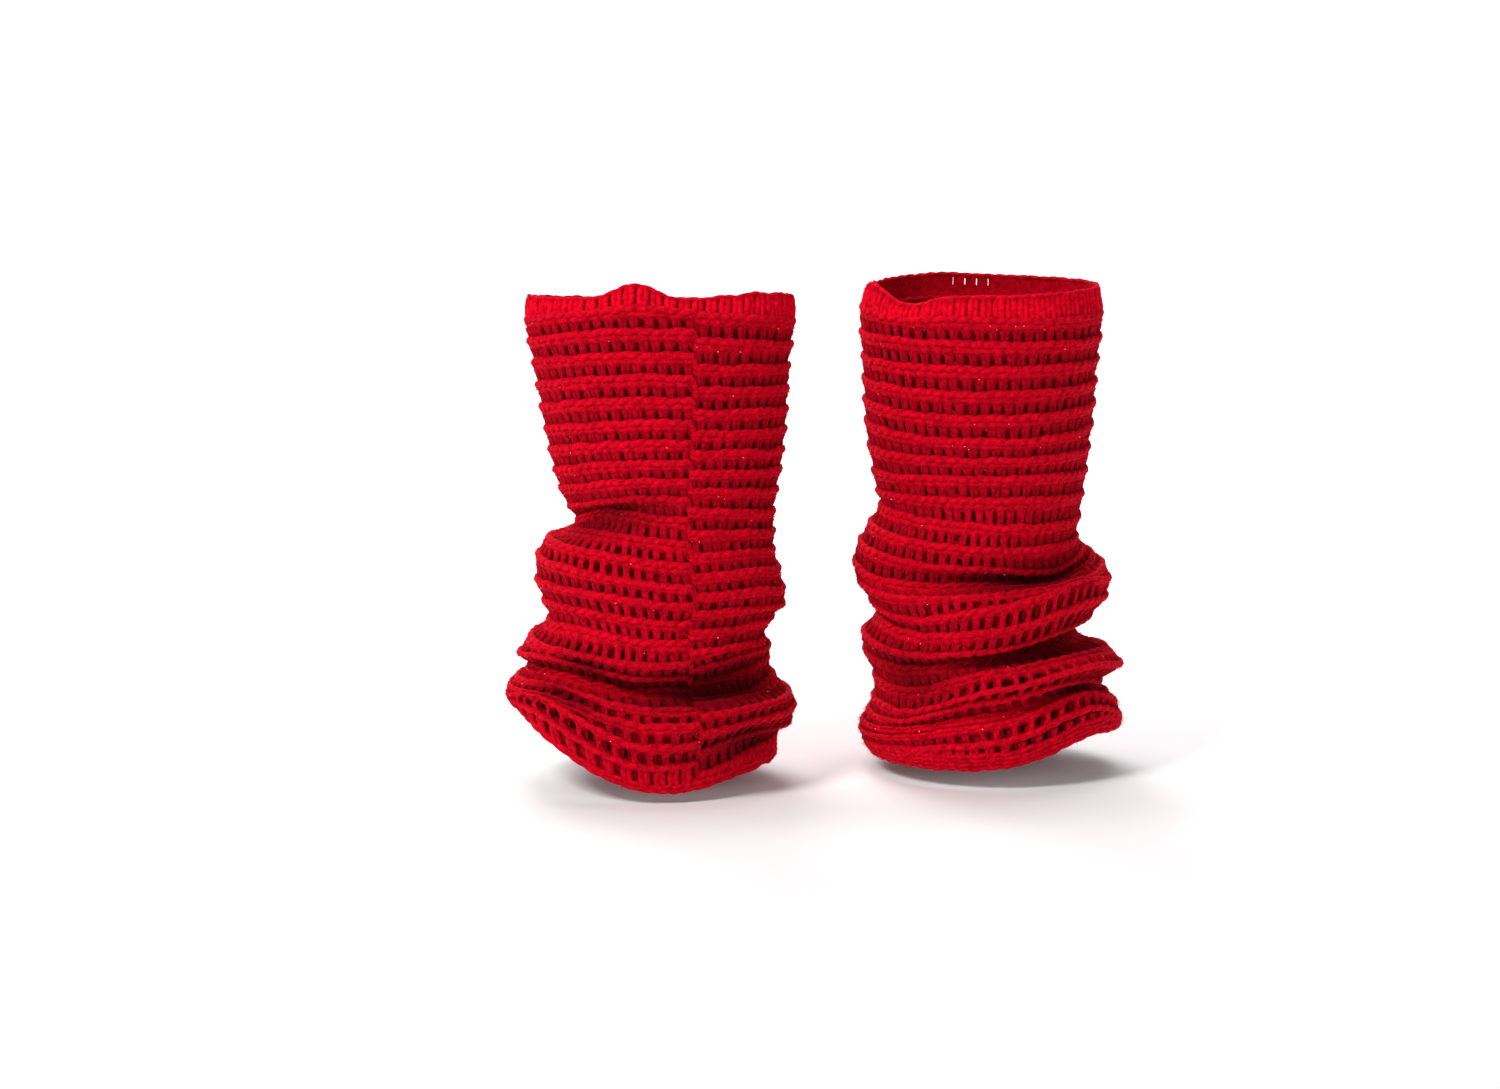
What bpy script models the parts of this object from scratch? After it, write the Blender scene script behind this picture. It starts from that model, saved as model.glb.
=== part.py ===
"""Pair of slouched crochet leg warmers, filled out as they are worn.

Each warmer is one ribbed crochet panel wrapped round the leg and sewn edge to edge, with the rows of one edge part
of a row lower than those of the other. A plain first row stands above it as the cuff and a plain last row lies below
it as the hem. All three are open walls with raised ribs outside and a plain inside. +X is across the pair, +Y runs
from the front to the back, +Z is up, and the origin is midway between the two legs at the height of the ankles.
Tables and sizes are in millimetres.
"""

import math
from collections import namedtuple

import bmesh
import bpy
import numpy as np

MM = 0.001

# Crochet cloth
PANEL_ROWS = 25
WALL = 2.4
RIB_HEIGHT = 2.8
RIB_HALF_ROWS = 0.22
CUFF_HEIGHT = 1.4
EDGE_ROUNDING = 1.0
ROW_GAP = 0.3

# Where each piece starts and ends, in crochet rows counted down from the top edge
CUFF_TOP = 0.0
CUFF_LIP = 0.12
CUFF_FOOT = 0.66
FIRST_RIB = 1
LAST_RIB = 24
SLOUCH = 9
HEM_HEAD = 24.42
HEM_LIP = 24.85

# Facets
STEPS_ROUND = 36
SLOPE_STEP = 0.02

# A section is one ring of the tube, at a crochet row, by the places of its left, right, front and back points
Section = namedtuple("Section", "row left_x left_z right_x right_z front_y front_z back_y back_z")
# A fold pushes the cloth out (or in, where out is negative) round one place, and its line climbs rows_per_degree
Fold = namedtuple("Fold", "angle row half_angle half_rows out rows_per_degree")
# A wave lifts the top edge (or drops it) round one angle
Wave = namedtuple("Wave", "angle half_angle lift")
# The seam is at seam_angle, and the rows beside it are seam_jog rows lower
Warmer = namedtuple("Warmer", "name sections folds waves seam_angle seam_jog")

LEFT_SECTIONS = [
    Section(0, -178, 138, -15, 137, -60, 142, 32, 131),
    Section(1, -179, 122, -15, 121, -65, 134, 36, 118),
    Section(3, -175, 96, -18, 94, -67, 108, 38, 93),
    Section(6, -168, 56, -20, 56, -69, 68, 39, 55),
    Section(9, -159, 19, -25, 19, -71, 33, 40, 19),
    Section(10, -154, 8, -27, 6, -71, 22, 39, 7),
    Section(11, -150, 1, -27, -6, -71, 10, 39, -3),
    Section(12, -155, -4, -27, -17, -74, -4, 42, -11),
    Section(13, -166, -10, -24, -28, -79, -17, 46, -20),
    Section(14, -173, -23, -21, -41, -81, -29, 48, -33),
    Section(15, -174, -36, -21, -52, -80, -41, 48, -45),
    Section(16, -170, -49, -28, -60, -78, -51, 46, -55),
    Section(17, -167, -59, -33, -71, -81, -62, 44, -64),
    Section(18, -177, -68, -29, -82, -84, -76, 48, -74),
    Section(19, -185, -81, -30, -90, -79, -89, 49, -85),
    Section(20, -180, -89, -27, -97, -72, -96, 48, -94),
    Section(21, -186, -94, -18, -104, -87, -100, 54, -101),
    Section(22, -191, -99, -14, -113, -93, -109, 58, -108),
    Section(23, -193, -105, -17, -124, -93, -123, 57, -116),
    Section(24, -192, -111, -25, -136, -89, -137, 53, -125),
    Section(25, -186, -118, -26, -150, -86, -149, 52, -135),
]
LEFT_FOLDS = [
    Fold(232, 11.2, 30, 0.8, -4.0, -0.024),
    Fold(222, 13.2, 26, 1.2, 3.0, -0.016),
    Fold(205, 16.8, 20, 0.8, -2.5, 0.016),
    Fold(296, 20.0, 34, 0.9, -4.0, 0.000),
    Fold(236, 18.6, 24, 0.9, 2.0, 0.010),
    Fold(312, 23.5, 24, 0.7, -4.0, 0.006),
    Fold(75, 14.0, 34, 1.2, 3.0, 0.010),
    Fold(120, 19.0, 36, 0.9, -3.5, -0.008),
    Fold(60, 22.4, 30, 0.8, -3.0, 0.006),
]
LEFT_WAVES = [
    Wave(260, 12, 9.0),
    Wave(318, 28, 3.0),
]
RIGHT_SECTIONS = [
    Section(0, 27, 141, 170, 141, -41, 141, 72, 139),
    Section(1, 23, 126, 172, 123, -45, 126, 75, 125),
    Section(3, 24, 96, 170, 95, -45, 96, 75, 96),
    Section(6, 26, 56, 167, 55, -43, 52, 73, 56),
    Section(9, 33, 13, 162, 12, -41, 16, 71, 13),
    Section(10, 35, 5, 160, -2, -41, 0, 70, 2),
    Section(11, 29, -6, 159, -14, -42, -14, 71, -10),
    Section(12, 23, -18, 163, -21, -40, -27, 74, -20),
    Section(13, 20, -31, 169, -25, -38, -35, 77, -28),
    Section(14, 23, -43, 175, -30, -51, -37, 80, -36),
    Section(15, 30, -55, 179, -40, -55, -48, 81, -48),
    Section(16, 34, -62, 177, -52, -54, -60, 80, -60),
    Section(17, 25, -74, 168, -63, -50, -73, 77, -71),
    Section(18, 26, -87, 159, -75, -41, -82, 76, -83),
    Section(19, 32, -102, 177, -82, -53, -85, 79, -94),
    Section(20, 31, -114, 187, -94, -60, -98, 83, -105),
    Section(21, 28, -122, 175, -106, -54, -110, 81, -113),
    Section(22, 24, -129, 179, -111, -49, -119, 79, -120),
    Section(23, 23, -136, 184, -118, -53, -127, 82, -127),
    Section(24, 26, -143, 187, -127, -56, -138, 83, -135),
    Section(25, 31, -150, 187, -134, -52, -148, 81, -143),
]
RIGHT_FOLDS = [
    Fold(318, 12.6, 34, 0.9, -3.0, -0.006),
    Fold(322, 18.0, 32, 0.8, -3.0, -0.004),
    Fold(326, 21.8, 28, 0.7, -3.0, -0.002),
    Fold(205, 13.6, 24, 1.2, 2.0, 0.000),
    Fold(105, 13.2, 34, 1.1, 3.0, -0.008),
    Fold(70, 18.2, 34, 0.9, -3.5, 0.006),
    Fold(140, 21.5, 30, 0.8, -3.0, 0.006),
]
RIGHT_WAVES = [
    Wave(228, 16, -7.0),
    Wave(196, 12, 3.0),
    Wave(108, 30, 2.5),
]
WARMERS = [
    Warmer("left", LEFT_SECTIONS, LEFT_FOLDS, LEFT_WAVES, 286, 0.5),
    Warmer("right", RIGHT_SECTIONS, RIGHT_FOLDS, RIGHT_WAVES, 255, 0.0),
]
WAVE_DEPTH = 0.9
JOG_BEFORE = 10
JOG_AFTER = 75
JOG_ROWS_IN = 3
JOG_ROWS_OUT = 1

# The yarn itself: acrylic with a soft red finish
RED = (0.62, 0.004, 0.018, 1.0)
ROUGHNESS = 0.85


def clear_scene():
    for thing in list(bpy.data.objects):
        bpy.data.objects.remove(thing)


def through(stations, values, where):
    """A smooth curve through the values at the stations, read at the places in where."""
    slopes = np.gradient(values, stations, axis=0)
    low = np.clip(np.searchsorted(stations, where) - 1, 0, len(stations) - 2)
    span = (stations[low + 1] - stations[low])[..., None]
    t = (where - stations[low])[..., None] / span
    return (
        (1 + 2 * t) * (1 - t) ** 2 * values[low]
        + t * (1 - t) ** 2 * span * slopes[low]
        + t**2 * (3 - 2 * t) * values[low + 1]
        - t**2 * (1 - t) * span * slopes[low + 1]
    )


def turn_from(angle, centre):
    """Degrees from centre to angle, the short way round."""
    return (angle - centre + 180) % 360 - 180


def cloth(warmer, angle, row):
    """Points on the rib tips' surface, at arrays of angles in degrees (0 right, 90 back) and crochet rows."""
    table = np.array(warmer.sections, float)
    left_x, left_z, right_x, right_z, front_y, front_z, back_y, back_z = np.moveaxis(
        through(table[:, 0], table[:, 1:], row), -1, 0
    )
    turn = np.radians(angle)
    across, along = np.cos(turn), np.sin(turn)
    push = sum(
        fold.out
        * np.exp(-((turn_from(angle, fold.angle) / fold.half_angle) ** 2))
        * np.exp(-(((row - fold.row - fold.rows_per_degree * turn_from(angle, fold.angle)) / fold.half_rows) ** 2))
        for fold in warmer.folds
    )
    lift = sum(
        wave.lift * np.exp(-((turn_from(angle, wave.angle) / wave.half_angle) ** 2)) for wave in warmer.waves
    ) * np.exp(-((row / WAVE_DEPTH) ** 2))
    x = (left_x + right_x) / 2 + (right_x - left_x) / 2 * across + push * across
    y = (front_y + back_y) / 2 + (back_y - front_y) / 2 * along + push * along
    z = (
        (left_z + right_z + front_z + back_z) / 4
        + (right_z - left_z) / 2 * across
        + (back_z - front_z) / 2 * along
        + (left_z + right_z - front_z - back_z) / 4 * np.cos(2 * turn)
        + lift
    )
    return np.stack([x, y, z], axis=-1)


def outward(warmer, angle, row):
    """Unit vectors out of the cloth at the same places."""
    round_it = cloth(warmer, angle + 1, row) - cloth(warmer, angle - 1, row)
    down_it = cloth(warmer, angle, row + SLOPE_STEP) - cloth(warmer, angle, row - SLOPE_STEP)
    across = np.cross(down_it, round_it)
    return across / np.linalg.norm(across, axis=-1, keepdims=True)


def angles_round(warmer):
    """Angles once round the warmer, starting at the seam."""
    return warmer.seam_angle + np.arange(STEPS_ROUND) * 360 / STEPS_ROUND


def sewn(warmer, angle, row):
    """The row's place beside the seam, where one edge of the panel was sewn on part of a row lower."""
    past = turn_from(angle, warmer.seam_angle)
    far = np.clip(np.where(past < 0, -past / JOG_BEFORE, past / JOG_AFTER), 0, 1)
    share = 1 - far**2 * (3 - 2 * far)
    inside = np.clip(row / JOG_ROWS_IN, 0, 1) * np.clip((PANEL_ROWS - row) / JOG_ROWS_OUT, 0, 1)
    return row + warmer.seam_jog * share * inside


def ring(warmer, row, in_from_tips):
    """One ring of points round the warmer, set in from the rib tips."""
    angle = angles_round(warmer)
    at = sewn(warmer, angle, np.full_like(angle, row))
    return cloth(warmer, angle, at) - in_from_tips * outward(warmer, angle, at)


def wall(name, warmer, outer, inner, material, collection):
    """A closed wall from its outer rings and its inner rings, both (row, set in from the tips) from the top down."""
    made = bmesh.new()
    outer_rings = [[made.verts.new(p * MM) for p in ring(warmer, *level)] for level in outer]
    inner_rings = [[made.verts.new(p * MM) for p in ring(warmer, *level)] for level in inner]
    loop = outer_rings + inner_rings[::-1]
    for upper, lower in zip(loop, loop[1:] + loop[:1]):
        for i in range(STEPS_ROUND):
            made.faces.new([upper[i - 1], lower[i - 1], lower[i], upper[i]])
    bmesh.ops.recalc_face_normals(made, faces=made.faces)
    bmesh.ops.triangulate(made, faces=made.faces)
    mesh = bpy.data.meshes.new(name)
    made.to_mesh(mesh)
    made.free()
    mesh.materials.append(material)
    mesh.shade_smooth()
    mesh.set_sharp_from_angle(angle=math.radians(40))
    collection.objects.link(bpy.data.objects.new(name, mesh))


def cuff(warmer, material, collection):
    """The plain first row: a rounded top edge, upright stitches and a foot that meets the panel."""
    inside = RIB_HEIGHT + WALL
    face = RIB_HEIGHT - CUFF_HEIGHT
    outer = [(CUFF_TOP, face + EDGE_ROUNDING), (CUFF_LIP, face), (CUFF_FOOT, face)]
    inner = [(CUFF_TOP, inside - EDGE_ROUNDING / 2), (CUFF_LIP, inside), (CUFF_FOOT, inside)]
    wall(f"{warmer.name}_cuff", warmer, outer, inner, material, collection)


def ribbed_panel(warmer, material, collection):
    """The leg: a raised rib at each crochet row, with a valley between each two, over a plain inside."""
    head = CUFF_FOOT + ROW_GAP / row_height(warmer, CUFF_FOOT)
    foot = HEM_HEAD - ROW_GAP / row_height(warmer, HEM_HEAD)
    inside = RIB_HEIGHT + WALL
    outer = [(head, RIB_HEIGHT * 0.8)]
    for rib in range(FIRST_RIB, LAST_RIB + 1):
        outer += [(rib - RIB_HALF_ROWS, 0.0), (rib + RIB_HALF_ROWS, 0.0), (rib + 0.5, RIB_HEIGHT)]
    outer[-1] = (foot, RIB_HEIGHT * 0.8)
    inner_rows = [head, *np.arange(FIRST_RIB, SLOUCH, 2), *np.arange(SLOUCH, LAST_RIB + 0.5, 0.5), foot]
    inner = [(row, inside) for row in inner_rows]
    wall(f"{warmer.name}_leg", warmer, outer, inner, material, collection)


def hem(warmer, material, collection):
    """The plain last row, rounded at its lower edge."""
    inside = RIB_HEIGHT + WALL
    face = RIB_HEIGHT - CUFF_HEIGHT
    outer = [(HEM_HEAD, face), (HEM_LIP, face), (PANEL_ROWS, face + EDGE_ROUNDING)]
    inner = [(HEM_HEAD, inside), (HEM_LIP, inside), (PANEL_ROWS, inside - EDGE_ROUNDING / 2)]
    wall(f"{warmer.name}_hem", warmer, outer, inner, material, collection)


def row_height(warmer, row):
    """The height of one row near a place down the warmer, at its shortest all round."""
    angle = angles_round(warmer)
    step = cloth(warmer, angle, np.full_like(angle, row + SLOPE_STEP)) - cloth(
        warmer, angle, np.full_like(angle, row - SLOPE_STEP)
    )
    return float(np.linalg.norm(step, axis=-1).min()) / (2 * SLOPE_STEP)


def yarn_material():
    material = bpy.data.materials.new("red_yarn")
    material.use_nodes = True
    surface = material.node_tree.nodes["Principled BSDF"]
    surface.inputs["Base Color"].default_value = RED
    surface.inputs["Roughness"].default_value = ROUGHNESS
    surface.inputs["Metallic"].default_value = 0.0
    return material


def main():
    clear_scene()
    pair = bpy.data.collections.new("leg_warmers")
    bpy.context.scene.collection.children.link(pair)
    material = yarn_material()
    for warmer in WARMERS:
        cuff(warmer, material, pair)
        ribbed_panel(warmer, material, pair)
        hem(warmer, material, pair)


main()
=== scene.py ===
"""Pair of red crochet leg warmers, slouched in folds above their hems, built strand by strand.

Every rib is a rope of two yarn strands that runs round the tube, with a soft shoulder of cloth under it.
Every stitch between two ribs is a post of two strands, with a hole beside it. The cuff and the hem have posts
of their own, and chains of rope along their edges.

Places on the cloth are given by a stitch round the tube from the seam, a crochet row down from the top edge,
and a depth under the tips of the ribs. The tables and constants of the form are in millimetres, as in the
part's own source, and the sizes in the sidebar are in metres.
"""

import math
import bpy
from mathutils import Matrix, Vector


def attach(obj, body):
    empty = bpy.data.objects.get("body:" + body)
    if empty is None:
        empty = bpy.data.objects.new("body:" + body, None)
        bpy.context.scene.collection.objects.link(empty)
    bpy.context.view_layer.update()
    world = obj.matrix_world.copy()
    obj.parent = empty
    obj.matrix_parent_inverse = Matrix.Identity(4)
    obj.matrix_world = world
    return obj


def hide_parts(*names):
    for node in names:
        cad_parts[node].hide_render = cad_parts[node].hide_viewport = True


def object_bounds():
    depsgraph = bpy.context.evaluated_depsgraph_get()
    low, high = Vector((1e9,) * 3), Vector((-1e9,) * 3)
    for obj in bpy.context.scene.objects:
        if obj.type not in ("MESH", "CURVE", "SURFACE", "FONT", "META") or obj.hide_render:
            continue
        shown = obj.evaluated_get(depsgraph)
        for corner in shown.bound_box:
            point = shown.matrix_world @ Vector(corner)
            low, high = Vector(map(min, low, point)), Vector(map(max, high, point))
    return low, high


bl_info = {
    "name": "Crochet Leg Warmers",
    "version": (1, 0, 0),
    "blender": (4, 5, 0),
    "location": "View3D > Sidebar > Leg Warmers",
    "description": "Builds a slouched pair of crochet leg warmers from yarn strands",
    "category": "Add Mesh",
}

from collections import namedtuple

import bpy
import numpy as np
from bpy.props import FloatProperty, FloatVectorProperty, IntProperty, PointerProperty
from mathutils import Vector

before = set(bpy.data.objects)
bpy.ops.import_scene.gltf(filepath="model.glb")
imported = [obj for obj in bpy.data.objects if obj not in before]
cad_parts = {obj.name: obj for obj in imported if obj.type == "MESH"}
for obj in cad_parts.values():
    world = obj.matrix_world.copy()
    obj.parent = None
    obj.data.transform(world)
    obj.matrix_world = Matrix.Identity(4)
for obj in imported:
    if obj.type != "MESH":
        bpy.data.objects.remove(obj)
CAD_BOX = [list(corner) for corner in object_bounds()]

MM = 0.001
BODY = "root"

# Crochet panel: row 0 is the cuff, a rib tops every row after it, and the last row is the hem
PANEL_ROWS = 25
LAST_ROW = PANEL_ROWS - 1
RIBS = range(1, PANEL_ROWS)
STITCHES = 56

# A section of the tube: where its four sides stand at a row, and how far its two front corners are lifted
Section = namedtuple(
    "Section",
    "row left_x left_z right_x right_z front_y front_z back_y back_z front_left_lift front_right_lift",
)
# A fold: about an angle and a row it moves the cloth out and up, and it may slant down round the tube
Fold = namedtuple("Fold", "angle row half_angle half_rows out lift rows_per_degree")
# Stretched cloth: half the width of its holes about an angle and a row
Stretch = namedtuple("Stretch", "angle row half_angle half_rows open")
# Wide stitches: about an angle and a row they stand further apart by a share, spread away from an angle
Widening = namedtuple("Widening", "angle row half_angle half_rows share away_from")
# A warmer: its form, its seam's angle, the rows that it steps down there, and the chains of rope at its hem
Warmer = namedtuple("Warmer", "name sections folds stretches widenings seam_angle seam_jog hem_chains")

LEFT_SECTIONS = [
    Section(0, -178, 138, -15, 137, -60, 142, 32, 131, 0, 0),
    Section(1, -179, 122, -15, 121, -65, 134, 36, 118, 0, 0),
    Section(3, -175, 96, -18, 94, -67, 108, 38, 93, 0, 0),
    Section(6, -168, 56, -20, 56, -69, 68, 39, 55, 0, 0),
    Section(9, -159, 19, -25, 19, -71, 33, 40, 19, 0, 0),
    Section(10, -154, 8, -27, 6, -71, 22, 39, 7, 0, 0),
    Section(11, -150, 1, -27, -6, -71, 10, 39, -3, 4, 0),
    Section(12, -155, -4, -27, -17, -74, -3, 42, -11, 2.5, 2),
    Section(13, -166, -8, -24, -28, -79, -15, 46, -20, 0.5, 4),
    Section(14, -173, -19, -21, -41, -81, -28, 48, -33, -0.5, 5.5),
    Section(15, -174, -36, -21, -52, -80, -39.5, 48, -45, 1, 3.5),
    Section(16, -170, -49, -28, -60, -78, -51, 46, -55, 2, 2),
    Section(17, -167, -59, -33, -71, -81, -62, 44, -64, 2, 3),
    Section(18, -177, -68, -29, -76, -84, -76, 48, -74, 0.5, 3.5),
    Section(19, -185, -81, -30, -84, -79, -86.5, 49, -85, 6, 0.5),
    Section(20, -180, -89, -27, -95, -72, -94, 48, -94, 4.5, -1.5),
    Section(21, -186, -94, -18, -104, -87, -100, 54, -101, 5.5, 3),
    Section(22, -191, -99, -14, -113, -93, -110.5, 58, -108, 7, 4.5),
    Section(23, -193, -105, -17, -124, -93, -124, 57, -116, 14.5, 6.5),
    Section(24, -192, -108, -25, -131, -89, -137, 53, -125, 10.5, 6.5),
    Section(25, -186, -111, -26, -144, -86, -153, 52, -135, 2, 6.5),
]
LEFT_FOLDS = [
    Fold(260, 0.0, 12, 0.9, 0.0, 9.0, 0.0),
    Fold(318, 0.0, 28, 0.9, 0.0, 3.0, 0.0),
    Fold(232, 11.2, 30, 0.8, -4.5, 0.0, -0.024),
    Fold(222, 13.2, 26, 1.2, 3.0, 0.0, -0.016),
    Fold(205, 18.2, 22, 1.2, 2.0, 0.0, 0.0),
    Fold(243, 18.9, 15, 0.8, -5.0, 0.0, 0.02),
    Fold(303, 19.8, 34, 1.1, -6.0, 0.0, 0.0),
    Fold(303, 20.5, 36, 0.5, -3.5, 0.0, 0.0),
    Fold(322, 19.0, 24, 0.9, -2.5, 0.0, 0.0),
    Fold(298, 21.3, 40, 0.5, 4.0, 0.0, 0.0),
    Fold(232, 21.7, 18, 0.7, -5.0, 0.0, 0.01),
    Fold(322, 23.5, 24, 0.7, -6.0, 0.0, 0.006),
    Fold(75, 14.0, 34, 1.2, 3.0, 0.0, 0.01),
    Fold(120, 19.0, 36, 0.9, -3.5, 0.0, -0.008),
    Fold(60, 22.4, 30, 0.8, -3.0, 0.0, 0.006),
]
LEFT_STRETCHES = [
    Stretch(250, 11.5, 26, 0.5, 0.5),
    Stretch(248, 12.5, 28, 0.5, 0.9),
    Stretch(240, 13.5, 26, 0.5, 0.9),
    Stretch(270, 14.5, 20, 0.5, 0.6),
    Stretch(255, 15.5, 24, 0.5, 0.7),
    Stretch(252, 16.5, 26, 0.5, 0.8),
    Stretch(252, 17.5, 22, 0.5, 0.7),
    Stretch(212, 18.5, 16, 0.5, 0.8),
    Stretch(236, 20.5, 22, 0.5, 0.7),
    Stretch(262, 21.5, 24, 0.5, 0.6),
    Stretch(264, 22.5, 14, 0.5, 0.5),
    Stretch(232, 23.5, 34, 0.6, 2.6),
    Stretch(60, 14.0, 40, 2.0, 0.7),
    Stretch(140, 8.5, 30, 1.2, 0.6),
]
RIGHT_SECTIONS = [
    Section(0, 27, 141, 170, 141, -41, 141, 72, 139, 0, 0),
    Section(1, 23, 126, 172, 123, -45, 126, 75, 125, 0, 0),
    Section(3, 24, 96, 170, 95, -45, 96, 75, 96, 0, 0),
    Section(6, 26, 56, 167, 55, -43, 52, 73, 56, 0, 0),
    Section(9, 33, 13, 162, 12, -41, 16, 71, 13, 0, 0),
    Section(10, 35, 5, 160, -2, -41, 0, 70, 2, 0, 0),
    Section(11, 29, -6, 159, -14, -42, -14, 71, -10, 0, 0),
    Section(12, 23, -18, 163, -21, -40, -27, 74, -20, 0, -6),
    Section(13, 20, -31, 169, -25, -38, -35, 77, -28, -2.5, -5),
    Section(14, 23, -43, 175, -30, -51, -38, 80, -36, -2.5, -0.5),
    Section(15, 30, -55, 179, -40, -55, -47, 81, -48, -6, 7.5),
    Section(16, 34, -62, 177, -52, -54, -61.5, 80, -60, -4, 6.5),
    Section(17, 25, -74, 168, -63, -50, -76, 77, -71, -3, 2),
    Section(18, 26, -87, 159, -75, -41, -83, 76, -83, -4.5, 2),
    Section(19, 32, -102, 177, -82, -53, -85, 79, -94, -7, 2),
    Section(20, 31, -114, 187, -94, -60, -95.5, 83, -105, -7.5, 6),
    Section(21, 28, -122, 175, -106, -54, -105.5, 81, -113, -6.5, 5),
    Section(22, 24, -129, 179, -111, -49, -114, 79, -120, -3.5, 6.5),
    Section(23, 23, -136, 184, -117, -53, -118, 82, -127, -2.5, 12.5),
    Section(24, 26, -143, 187, -126, -56, -129.5, 83, -135, -1, 12.5),
    Section(25, 31, -151, 187, -134, -52, -147.5, 81, -143, 1.5, 8),
]
RIGHT_FOLDS = [
    Fold(228, 0.0, 16, 0.9, 0.0, -7.0, 0.0),
    Fold(196, 0.0, 12, 0.9, 0.0, 3.0, 0.0),
    Fold(108, 0.0, 30, 0.9, 0.0, 2.5, 0.0),
    Fold(302, 13.0, 36, 0.9, -7.0, 0.0, 0.0),
    Fold(300, 14.5, 38, 0.7, 3.0, 0.0, 0.0),
    Fold(228, 18.4, 20, 1.2, -4.0, 0.0, 0.0),
    Fold(306, 18.1, 36, 0.8, -6.0, 0.0, 0.0),
    Fold(326, 21.8, 24, 0.8, -5.0, 0.0, -0.002),
    Fold(205, 13.6, 24, 1.2, 2.0, 0.0, 0.0),
    Fold(105, 13.2, 34, 1.1, 3.0, 0.0, -0.008),
    Fold(70, 18.2, 34, 0.9, -3.5, 0.0, 0.006),
    Fold(140, 21.5, 30, 0.8, -3.0, 0.0, 0.006),
]
RIGHT_STRETCHES = [
    Stretch(268, 9.5, 30, 0.6, 0.5),
    Stretch(262, 10.5, 30, 0.6, 0.6),
    Stretch(262, 11.5, 24, 0.5, 0.6),
    Stretch(235, 13.5, 22, 0.5, 0.6),
    Stretch(255, 14.5, 24, 0.5, 0.7),
    Stretch(292, 15.5, 30, 0.5, 1.2),
    Stretch(294, 16.5, 26, 0.5, 0.9),
    Stretch(286, 19.5, 36, 0.6, 1.9),
    Stretch(270, 20.5, 34, 0.5, 0.6),
    Stretch(280, 21.5, 20, 0.5, 0.5),
    Stretch(290, 23.4, 26, 0.5, 1.5),
    Stretch(300, 24.4, 28, 0.6, 1.7),
    Stretch(120, 15.0, 40, 2.0, 0.7),
    Stretch(100, 0.5, 20, 0.6, 0.3),
]
LEFT_WIDENINGS = [Widening(234, 25.0, 36, 3.2, 0.40, 262)]
RIGHT_WIDENINGS = [Widening(290, 21.5, 46, 5.0, 0.30, 290)]
WARMERS = [
    Warmer("left", LEFT_SECTIONS, LEFT_FOLDS, LEFT_STRETCHES, LEFT_WIDENINGS, 286, 0.5, 2),
    Warmer("right", RIGHT_SECTIONS, RIGHT_FOLDS, RIGHT_STRETCHES, RIGHT_WIDENINGS, 255, 0.0, 4),
]

# Steps of the panel's tables
TABLE_STEPS_PER_ROW = 4
TABLE_STEPS_ROUND = 240

# Rows and degrees to both sides over which slopes and heights are measured
SLOPE_ROWS = 0.02
SLOPE_DEGREES = 1
HEIGHT_ROWS = 0.25

# Least height of a row, and the depth at which a stitch's width is measured
LEAST_ROW_HEIGHT = 4.0
WIDTH_DEPTH = 2.0

# Front corners: their angles, and the degrees to both sides that their lift reaches
FRONT_LEFT = 225
FRONT_RIGHT = 315
CORNER_REACH = 45

# A stepped seam: the stitches over which its step fades out, and the rows over which it builds up
JOG_STITCHES = 12
JOG_ROWS = 3

# Rows by which yarn may stand past an edge
PAST_EDGE = 0.2

# Posts stand aside by part of a stitch, to the other side in the next row, and wander a little from there
POST_ASIDE = 0.25
POST_WANDER = 0.06
EDGE_WANDER = 0.02
WANDER_SEED = 5

# Seed for each kind of piece
SEEDS = {
    "ribs": 11,
    "posts": 23,
    "shoulders": 31,
    "inner_loops": 37,
    "edges": 41,
    "seams": 53,
    "fuzz": 67,
    "glitter": 79,
}

# Painted shade: how bright the yarn is painted where less light reaches it, and how deep a fold dims it to
# about a third
INSIDE_SHADE = 0.85
GROUND_SHADE = 0.6
SLOT_SHADE = 0.36
STRETCHED_SLOT_SHADE = 0.05
EDGE_GROUND_SHADE = 0.75
SEAM_SHADE = 0.6
DIM_FOLD = 5.0

# Share of its light that the back of a strand loses, as painted shade
BACK_LOSS = 0.35

# Ground: how far a rib covers it, in millimetres and at most in rows, and how far out it comes in places
RIB_COVER = 2.3
MOST_RIB_COVER = 0.3
STRETCHED_RAISE = 0.6
EDGE_RAISE = 1.2

# Stretched holes in the first rows are see-through over the upper share of their height
OPEN_ROWS = 2
OPEN_SHARE = 0.5

# Thickness of a strand as a share of its width
RIB_SQUASH = 0.75
POST_SQUASH = 0.8

# Part of a stitch by which points keep off the seam itself
SEAM_NUDGE = 0.001

# Least length that a vector is divided by
LEAST_LENGTH = 1e-12

# A rope has its full size in rows of this height or more, and at least this share of it in lower ones
FULL_ROW = 12.0
LEAST_SHRINK = 0.4

# Rope: its make, how unevenly it winds, swells and wanders, and how a strand's size and painted shade change
# from back to front
ROPE_POINTS_PER_STITCH = 4
ROPE_SIDES = 6
ROPE_WAVES = 24
SWELL_WAVES = 50
UNEVEN_WINDING = 0.3
UNEVEN_SWELL = 0.06
UNEVEN_HEIGHT = 0.45
ROPE_SHADE = 0.9
ROPE_FRONT_SHADE = 0.1
ROPE_SWELL = 0.95
ROPE_FRONT_SWELL = 0.14
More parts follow.
